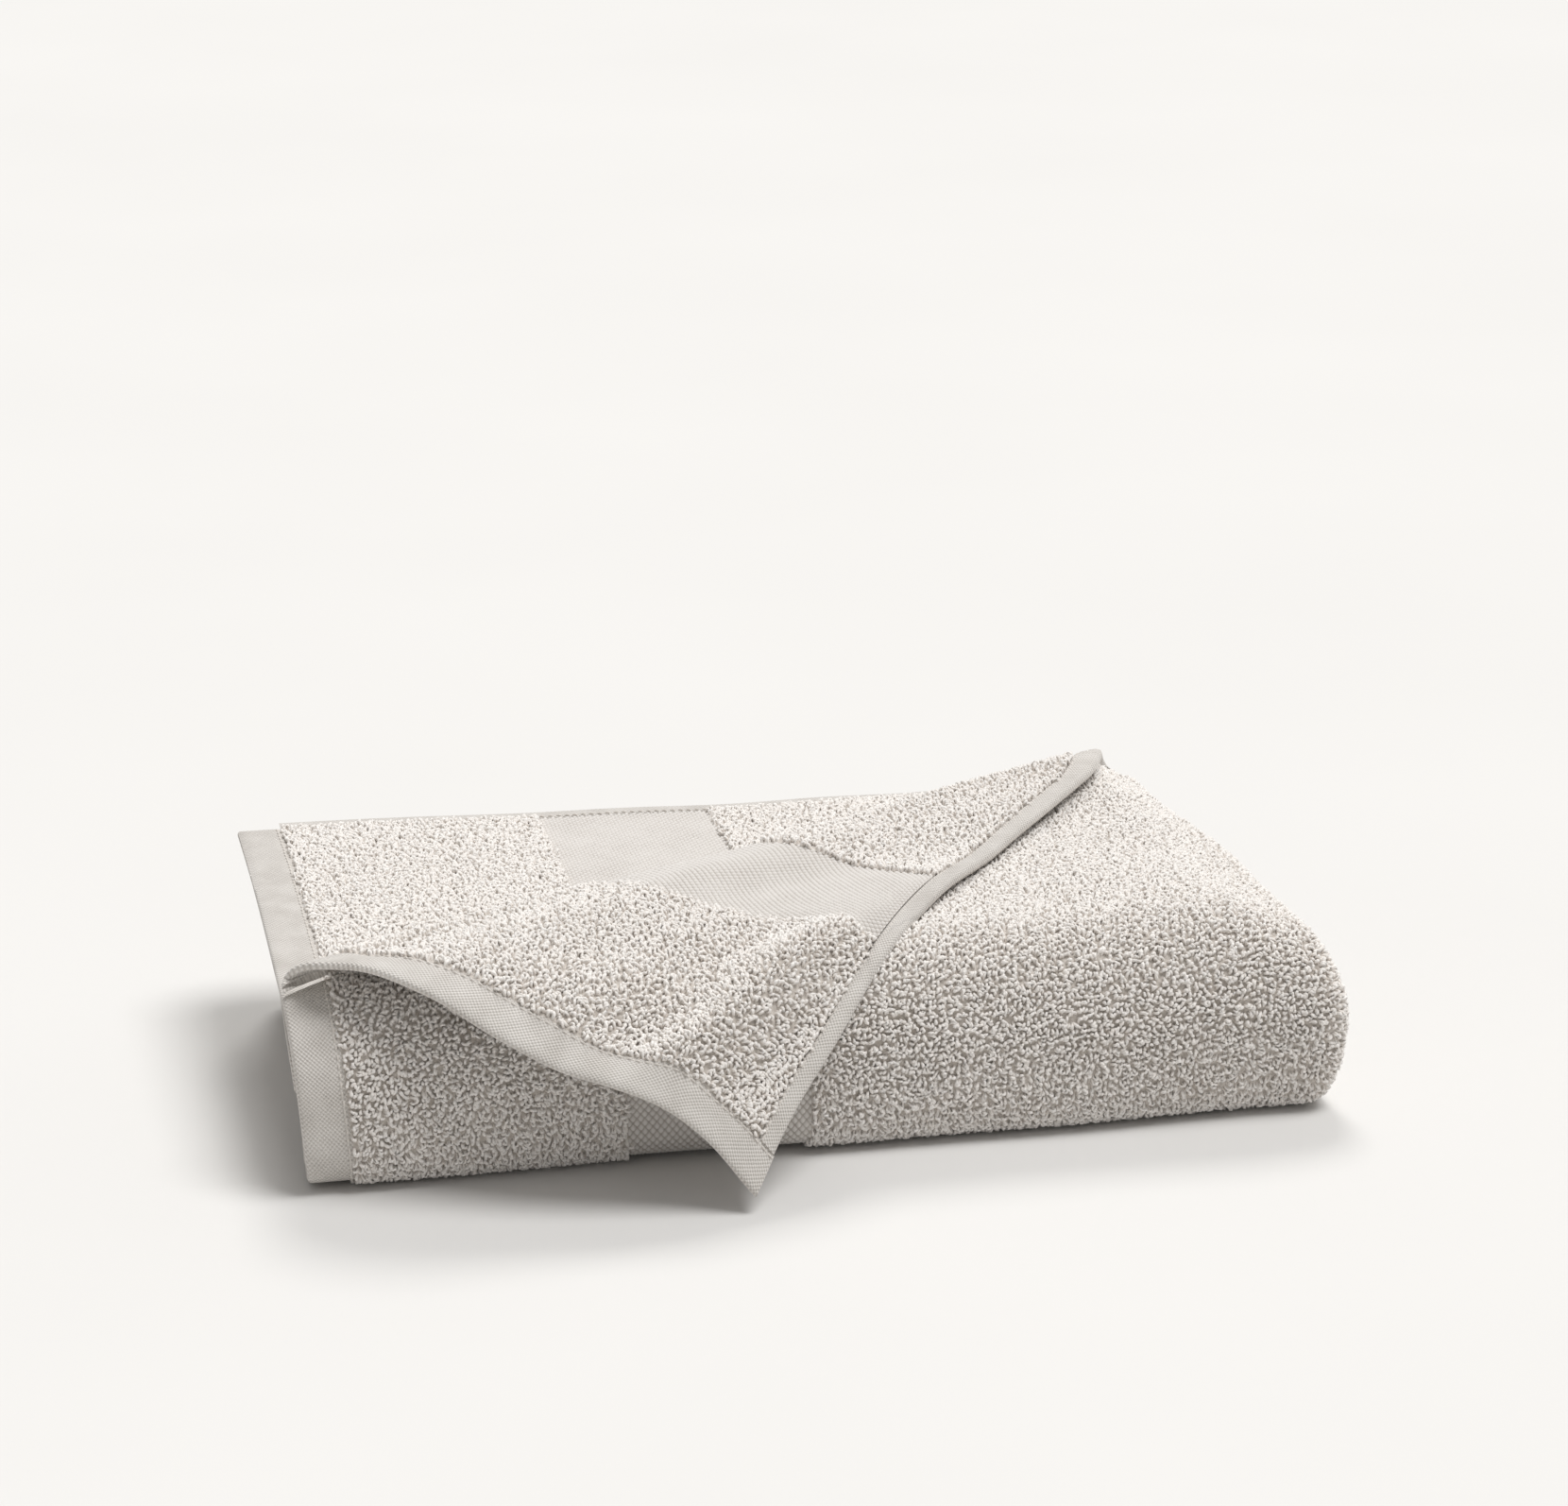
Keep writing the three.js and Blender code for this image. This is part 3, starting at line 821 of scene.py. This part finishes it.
ZONES = {
    "end_hem": (0.0, END_HEM, HEM_HALF, HEM, "hem_weave"),
    "terry_strip": (END_HEM, BAND_START, GROUND_CLOTH, GROUND, "terry"),
    "dobby_band": (BAND_START, BAND_END, BAND_HALF, HONEYCOMB, "honeycomb"),
    "terry_main": (BAND_END, PANEL_END, GROUND_CLOTH, GROUND, "terry"),
}
PATH = [sum(fold_runs((sheet + 0.5) * LAYER)) for sheet in range(4)]


def crease_at(u):
    """Where the crease crosses the flat towel's column u, as a distance from the front."""
    return CREASE_START[1] + CREASE_SLOPE * (u - CREASE_START[0])


def ahead_of_crease(u, behind):
    """The place in column u that lies this far behind the crease."""
    x = u - CREASE_START[0]
    return CREASE_START[1] + (behind + x * CREASE_FRONT[0]) / -CREASE_FRONT[1]


def finish_piece(piece, body, finish, nodes=()):
    piece.data.materials.append(finish)
    piece.data.set_sharp_from_angle(angle=math.radians(55))
    if body:
        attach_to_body(piece, body)
    if nodes:
        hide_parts(*nodes)
    return piece


def cloth_relief(zone):
    if zone != "dobby_band":
        return None
    return lambda u, v: 0.8 * (honeycomb_height(u, v) - 0.4)


def cloth(name, zone, surface, edges, nodes, body="folded_stack", low=None, high=None, cell=2.4, seen=True):
    """One zone of cloth as its own closed thin sheet."""
    zone_low, zone_high, half, finish, slot = ZONES[zone]
    low = zone_low if low is None else low
    high = zone_high if high is None else high
    relief = cloth_relief(zone) if seen else None
    piece = patch(name, surface, low, high, edges, half, relief, CELL_STEP if relief else cell)
    return finish_piece(piece, body, finish, nodes)


def declare(low, high, edges, pile_pieces=()):
    """Works out the zone's widths along u between its edges, and keeps none of them."""
    u = np.linspace(low, high, 60)
    lengths = np.abs(edges[1](u) - edges[0](u))
    list(pile_pieces)


LOOP_LIMIT = 4400  # in one piece, so that the exported model keeps every face


def pile_pieces(name, surface, spots, half, side, seed, body="folded_stack"):
    """The loops on one face, in pieces small enough for the exported model."""
    u, v = spots
    order = np.lexsort((u, np.floor(v / 12)))
    u, v = u[order], v[order]
    parts = math.ceil(len(u) / LOOP_LIMIT)
    made = []
    for k, (some_u, some_v) in enumerate(zip(np.array_split(u, parts), np.array_split(v, parts))):
        piece = pile(f"{name}_loops_{k + 1}", surface, some_u, some_v, half, side, seed + 10 * k)
        piece.data.materials.append(LOOPS)
        if body:
            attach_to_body(piece, body)
        made.append(piece)
    return made


def hem(name, surface, outline, edges, nodes, body="folded_stack"):
    piece = swept(name, surface, outline, edges)
    return finish_piece(piece, body, HEM, nodes)


def stitches(name, surface, spots, lift, sides=(1,), lengthways=True, seed=0):
    """A row of short threads along v, or along u, sunk a little in the cloth on the given faces."""
    rng = np.random.default_rng(SEED + seed)
    rings, around = 5, 6
    blocks = []
    for side in sides:
        u, v = spots
        count = len(u)
        share = np.linspace(-0.5, 0.5, rings)[None, :] * STITCH_LENGTH
        du = 0.0 if lengthways else 1.0
        line_u = u[:, None] + share * du + rng.normal(0, 0.06, (count, 1))
        line_v = v[:, None] + share * (1 - du) + rng.normal(0, 0.06, (count, 1))
        arch = np.cos(np.linspace(-0.5, 0.5, rings) * math.pi)[None, :]
        height = side * (lift + THREAD * (1.1 * arch - 0.5))
        line = surface(line_u, line_v, np.broadcast_to(height, line_u.shape))
        above = surface(line_u, line_v, np.broadcast_to(height, line_u.shape) + 0.4 * side)
        up = unit(above - line)
        run = unit(np.gradient(line, axis=1))
        beside = unit(np.cross(run, up))
        turn = np.linspace(0, 2 * math.pi, around, endpoint=False)
        radius = THREAD * (0.55 + 0.45 * arch)[..., None, None]
        ring = beside[:, :, None] * np.cos(turn)[:, None] + up[:, :, None] * np.sin(turn)[:, None]
        blocks.append((line[:, :, None] + radius * ring).reshape(-1, 3))
    points = np.concatenate(blocks)
    each = rings * around
    one = grid_faces(rings, around, wrap=True)
    ends = np.array([[0, 3, 2, 1], [0, 5, 4, 3]])
    one = np.concatenate([one, ends, ends[:, ::-1] + (rings - 1) * around])
    faces = (one[None] + (np.arange(len(points) // each) * each)[:, None, None]).reshape(-1, 4)
    return new_mesh(name, points, faces)


def stitch_row(name, surface, across, start, end, node, lengthways, seed, sides=(1,), body="folded_stack"):
    """Stitches along a hem, from start to end: along v at one u, or along u at one v."""
    runs = np.arange(start, end, STITCH_PITCH)
    level = np.full(len(runs), across)
    spots = (level, runs) if lengthways else (runs, level)
    piece = stitches(name, surface, spots, HEM_HALF, sides, lengthways, seed)
    return finish_piece(piece, body, THREAD_FINISH, [node])


# ---- The stack's pieces ----

OUTER, SECOND, THIRD, FOURTH = (stack_surface(k) for k in range(4))
TERRY_ZONES = ("terry_strip", "terry_main")


def constant(value):
    return lambda u: np.zeros_like(np.asarray(u, float)) + value


def outer_start(u):
    """Where the outer sheet comes out from the crease, as a distance from its top back edge."""
    return np.maximum(DEPTH - crease_at(u), SIDE_HEM)


END_HEM_OUTLINE = strip_outline(0.0, END_HEM, HEM_HALF, round_high=False)


def band_in_two(name, surface, edges, split):
    """The honeycomb band: its cells are in the mesh where it shows, and left out where it is folded in."""
    zone = "dobby_band"
    parts = {"seen": (edges[0], constant(split)), "hidden": (constant(split), edges[1])}
    for word, part in parts.items():
        made = f"sheet_{name}_{zone}_{word}"
        piece = cloth(made, zone, surface, part, [f"{name}_{zone}"], seen=word == "seen")
        declare(BAND_START, BAND_END, part)


def long_sheet(name, hem_name, surface, edges, band_split, zone_loops):
    """A sheet with its end hem, two zones of terry and the band. zone_loops makes one zone's loops."""
    made = hem(hem_name, surface, END_HEM_OUTLINE, edges, [f"{name}_end_hem"])
    declare(0, END_HEM, edges)
    for index, zone in enumerate(("terry_strip", "dobby_band", "terry_main")):
        if zone == "dobby_band":
            band_in_two(name, surface, edges, band_split)
            continue
        low, high = ZONES[zone][:2]
        piece = cloth(f"sheet_{name}_{zone}", zone, surface, edges, [f"{name}_{zone}"])
        declare(low, high, edges, zone_loops(index, zone, low, high))


def make_outer_sheet():
    """Its loops are on the top, round the front roll, and round the back roll that shows from behind."""
    edges = (outer_start, constant(PATH[0] - SIDE_HEM))
    runs = fold_runs(LAYER / 2)
    front_end = DEPTH - FRONT_ROLL + math.pi * (FRONT_ROLL - LAYER / 2) + 4
    back_start = runs[0] + runs[1] + runs[2] - 12
    back_end = back_start + runs[3] + 24

    def zone_loops(index, zone, low, high):
        in_front = places(low, high, SIDE_HEM, front_end, lambda u, s: s > DEPTH - crease_at(u) + 1)
        behind = places(low, high, back_start, back_end)
        loops = pile_pieces(f"outer_{zone}", OUTER, in_front, GROUND_CLOTH, 1, SEED + index)
        return loops + pile_pieces(f"back_{zone}", OUTER, behind, GROUND_CLOTH, 1, SEED + 40 + index)

    long_sheet("outer", "end_hem_front", OUTER, edges, front_end, zone_loops)


def make_second_sheet():
    """Its loops are where the turned corner leaves it bare."""
    edges = (constant(SIDE_HEM), constant(PATH[1] - SIDE_HEM))

    def zone_loops(index, zone, low, high):
        bare = places(low, high, SIDE_HEM, DEPTH, lambda u, s: s < DEPTH - crease_at(u) + 9)
        return pile_pieces(f"second_{zone}", SECOND, bare, GROUND_CLOTH, 1, SEED + 80 + index)

    split = DEPTH - crease_at(BAND_START) + 12
    long_sheet("second", "end_hem_second", SECOND, edges, split, zone_loops)


def make_inner_panels():
    start = LEFT_FOLD + LAYER
    for sheet, surface, name in ((2, THIRD, "third"), (3, FOURTH, "fourth")):
        edges = (constant(SIDE_HEM), constant(PATH[sheet] - SIDE_HEM))
        piece = patch(f"sheet_{name}_panel", surface, start, PANEL_END, edges, GROUND_CLOTH, None, 4.0)
        finish_piece(piece, "folded_stack", GROUND, [f"{name}_terry_panel"])
        declare(start, PANEL_END, edges)


END_GAP = 0.6  # from a closed end fold's own ends to the back edge


def make_end_folds():
    right = PANEL_END + math.pi * 1.5 * LAYER
    inner = PANEL_END + math.pi * 0.5 * LAYER
    left = math.pi * LAYER / 2
    folds = (
        ("right_fold_outer", right_turn_surface(0), PANEL_END, right, PATH[0], True),
        ("right_fold_inner", right_turn_surface(1), PANEL_END, inner, PATH[1], False),
        ("left_fold", left_turn_surface, 0.0, left, PATH[2], True),
    )
    for index, (name, surface, low, high, path, loopy) in enumerate(folds):
        ends = (constant(END_GAP), constant(path - END_GAP))
        piece = patch(f"turn_{name}", surface, low, high, ends, GROUND_CLOTH, None, 1.6)
        finish_piece(piece, "folded_stack", GROUND, [name])
        loops = []
        if loopy:
            spots = places(low, high, END_GAP, path - END_GAP)
            loops = pile_pieces(name, surface, spots, GROUND_CLOTH, 1, SEED + 120 + index)
        declare(low, high, ends, loops)


def sideways(surface):
    """The same surface with its two directions swapped, to run a hem along u."""
    return lambda s, u, lift: surface(u, s, lift)


def make_side_hems():
    names = ["outer", "second", "third", "fourth", "fifth", "sixth", "seventh", "eighth"]
    inner_start = LEFT_FOLD + LAYER
    for k, name in enumerate(names):
        sheet = k if k < 4 else 7 - k
        surface = (OUTER, SECOND, THIRD, FOURTH)[sheet]
        low = 0.0 if k < 4 else PATH[sheet] - SIDE_HEM
        start = END_HEM if sheet < 2 else inner_start
        if k == 0:
            start = CREASE_END - FOLD_OVERRUN
        outline = strip_outline(low, low + SIDE_HEM, HEM_HALF)
        edges = (constant(start), constant(PANEL_END))
        piece = hem(f"{name}_back_hem", sideways(surface), outline, edges, [f"{name}_side_hem"])
        declare(low, low + SIDE_HEM, edges)


def make_stack_stitches():
    inset = END_HEM - STITCH_INSET
    side = SIDE_HEM - STITCH_INSET
    crease = DEPTH - crease_at(inset)
    for name, surface, across, start, end, node, lengthways, seed in (
        ("end_hem_front", OUTER, inset, crease + 3, DEPTH + 75, "outer_end_hem", True, 1),
        ("end_hem_second", SECOND, inset, SIDE_HEM + 2, crease + 10, "second_end_hem", True, 2),
        ("side_hem_second", SECOND, side, END_HEM + 2, PANEL_END - 2, "second_side_hem", False, 3),
    ):
        node = f"{node}_stitching"
        stitch_row(f"{name}_stitches", surface, across, start, end, node, lengthways, seed)


# ---- The turned corner's pieces ----

TURN_END = math.pi * CREASE_RADIUS + 6
BEND_AT = local(JOINTS["tip_drape"]["pos_m"])[1]


def bend_at(u):
    """The place in column u that comes to the bend over the front once the corner is turned."""
    x = u - CREASE_START[0]
    ax, ay = CREASE_ALONG
    fx, fy = CREASE_FRONT
    turned = math.pi * CREASE_RADIUS
    rest = BEND_AT - CREASE_START[1] - x * (ax * ay - fx * fy) + turned * fy
    return CREASE_START[1] + rest / (ay * ay - fy * fy)


def row_point(x, y, z):
    return tuple(to_metres(np.array([x, y, z], float)))


def over_crease(piece):
    """Bakes the piece's place into its mesh. Its cloth goes from the stack to the corner as it rises over
    the crease and comes forward again.
    """
    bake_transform(piece)


def over_bend(piece):
    """Bakes the piece's place into its mesh. Its cloth goes from the corner to its hanging tip, more and
    more on its way down over the front.
    """
    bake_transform(piece)


def flap_part(part, u):
    """A part's two edges across column u: from the crease to the bend, or past the bend."""
    inside = DEPTH - SIDE_HEM
    crease = np.minimum(ahead_of_crease(u, -1.0), inside)
    turned = np.minimum(ahead_of_crease(u, TURN_END), inside)
    bend = np.clip(bend_at(u), turned, inside)
    return (crease, bend) if part == "upper" else (bend, constant(inside)(u))


def part_edges(part):
    return (lambda u: flap_part(part, u)[0], lambda u: flap_part(part, u)[1])


def part_reach(part, low, high):
    """The stretch of u over which a part has any cloth in a zone."""
    u = np.linspace(low, high, 800)
    first, last = flap_part(part, u)
    held = u[(last - first) > 0.5]
    return held[0], held[-1]


def attach(piece, part):
    if part == "upper":
        over_crease(piece)
    else:
        over_bend(piece)


def in_part(part, u, v):
    first, last = flap_part(part, u)
    return (v > first) & (v < last)


def flap_nodes(part, zone):
    crease = [f"crease_{zone}"] if part == "upper" else []
    return crease + [f"flap_{zone}_{part}"]


FLAP_CLOTH = (
    ("upper", "terry_strip"), ("upper", "dobby_band"), ("upper", "terry_main"), ("lower", "terry_strip"),
)


def make_flap_cloth():
    for number, (part, zone) in enumerate(FLAP_CLOTH):
        low, high, half = ZONES[zone][:3]
        low, high = part_reach(part, low, CREASE_END if zone == "terry_main" else high)
        edges = part_edges(part)
        nodes = flap_nodes(part, zone)
        piece = cloth(f"corner_{zone}_{part}", zone, flap_surface, edges, nodes, None, low, high, 2.0)
        attach(piece, part)
        loops = []
        if zone in TERRY_ZONES:
            held = lambda u, v: in_part(part, u, v)
            spots = places(low, high, CREASE_START[1] - 5, DEPTH - SIDE_HEM, held)
            for side, word in ((1, "inner"), (-1, "outer")):
                seed = SEED + 160 + 4 * number + side
                name = f"corner_{zone}_{part}_{word}"
                loops += pile_pieces(name, flap_surface, spots, half, side, seed, None)
            for some in loops:
                attach(some, part)
        declare(low, high, edges, loops)


def make_flap_end_hem():
    split = lambda u: ahead_of_crease(u, TURN_END + 5)
    cuts = {
        "upper": (lambda u: ahead_of_crease(u, -1.0), split),
        "lower": (split, constant(DEPTH)),
    }
    for part, edges in cuts.items():
        nodes = flap_nodes(part, "end_hem")
        piece = hem(f"corner_end_hem_{part}", flap_surface, END_HEM_OUTLINE, edges, nodes, None)
        attach(piece, part)
        declare(0, END_HEM, edges)


def make_flap_side_hem():
    outline = strip_outline(DEPTH - SIDE_HEM, DEPTH, HEM_HALF * 1.5)
    across = DEPTH - SIDE_HEM / 2
    u = np.linspace(END_HEM, CREASE_END, 2000)
    bend = u[np.argmax(bend_at(u) > across)]
    cuts = {"lower": (END_HEM, bend), "upper": (bend, CREASE_END - 2)}
    for part, (low, high) in cuts.items():
        nodes = [f"flap_side_hem_{part}"]
        edges = (constant(low), constant(high))
        piece = hem(f"corner_side_hem_{part}", sideways(flap_surface), outline, edges, nodes, None)
        attach(piece, part)
        declare(DEPTH - SIDE_HEM, DEPTH, edges)
        row = stitch_row(f"corner_side_stitches_{part}", flap_surface, DEPTH - SIDE_HEM + 1.2, low + 1.5,
                         high - 1, f"flap_side_hem_stitching_{part}", False, 5, (1, -1), None)
        attach(row, part)


def make_flap_end_stitches():
    inset = END_HEM - STITCH_INSET
    start = float(ahead_of_crease(inset, TURN_END + 1))
    bend = float(max(bend_at(inset), start + 2 * STITCH_PITCH))
    for part, low, high in (("upper", start, bend), ("lower", bend, DEPTH - 1)):
        row = stitch_row(f"corner_end_stitches_{part}", flap_surface, inset, low + 0.5,
                         high, f"flap_end_hem_stitching_{part}", True, 7, (1, -1), None)
        attach(row, part)


make_outer_sheet()
make_second_sheet()
make_inner_panels()
make_end_folds()
make_side_hems()
make_stack_stitches()
make_flap_cloth()
make_flap_end_hem()
make_flap_side_hem()
make_flap_end_stitches()

# ---- The place it lies in, the light and the camera ----


def make_floor():
    reach = 6000.0
    corners = np.array([(-1, -1, 0), (1, -1, 0), (1, 1, 0), (-1, 1, 0)]) * reach
    floor = new_mesh("floor", corners, np.array([[0, 1, 2, 3]]))
    made, nodes, links, shader = material("floor_surface")
    mottle = noise(nodes, links, 3.0)
    stops = [(0.3, (0.735, 0.725, 0.71)), (0.7, (0.75, 0.74, 0.725))]
    colour_ramp(nodes, links, shader, mottle, stops)
    shader.inputs["Roughness"].default_value = 0.9
    shader.inputs["Specular IOR Level"].default_value = 0.1
    floor.data.materials.append(made)


def add_sun(name, azimuth, elevation, strength, softness, colour=(1, 1, 1)):
    """A soft distant light. Azimuth is round from the front, towards the right."""
    lamp = bpy.data.lights.new(name, "SUN")
    lamp.energy = strength
    lamp.angle = math.radians(softness)
    lamp.color = colour
    turn, tilt = math.radians(azimuth), math.radians(elevation)
    holder = bpy.data.objects.new(name, lamp)
    towards = Vector((math.sin(turn) * math.cos(tilt), -math.cos(turn) * math.cos(tilt), math.sin(tilt)))
    holder.rotation_euler = towards.to_track_quat("Z", "Y").to_euler()
    bpy.context.scene.collection.objects.link(holder)


def make_light():
    world = bpy.data.worlds.new("studio")
    world.use_nodes = True
    background = world.node_tree.nodes["Background"]
    background.inputs["Color"].default_value = (1.0, 0.985, 0.965, 1)
    background.inputs["Strength"].default_value = 0.38
    bpy.context.scene.world = world
    add_sun("key", 66, 68, 1.95, 28)
    add_sun("back", 168, 52, 1.25, 20, (1, 0.99, 0.97))
    view = bpy.context.scene.view_settings
    view.view_transform = "Standard"


CAMERA_PLACE = (-148, -1445, 626.5)  # millimetres from the stack's front left corner
CAMERA_PITCH = math.radians(18)
CAMERA_YAW = math.radians(12.1)


def make_camera():
    lens = bpy.data.cameras.new("camera")
    lens.sensor_width = 36
    lens.lens = 107.6
    lens.clip_end = 50
    holder = bpy.data.objects.new("camera", lens)
    holder.location = row_point(*CAMERA_PLACE)
    holder.rotation_euler = (math.pi / 2 - CAMERA_PITCH, 0, -CAMERA_YAW)
    bpy.context.scene.collection.objects.link(holder)
    bpy.context.scene.camera = holder


make_floor()
make_light()
make_camera()
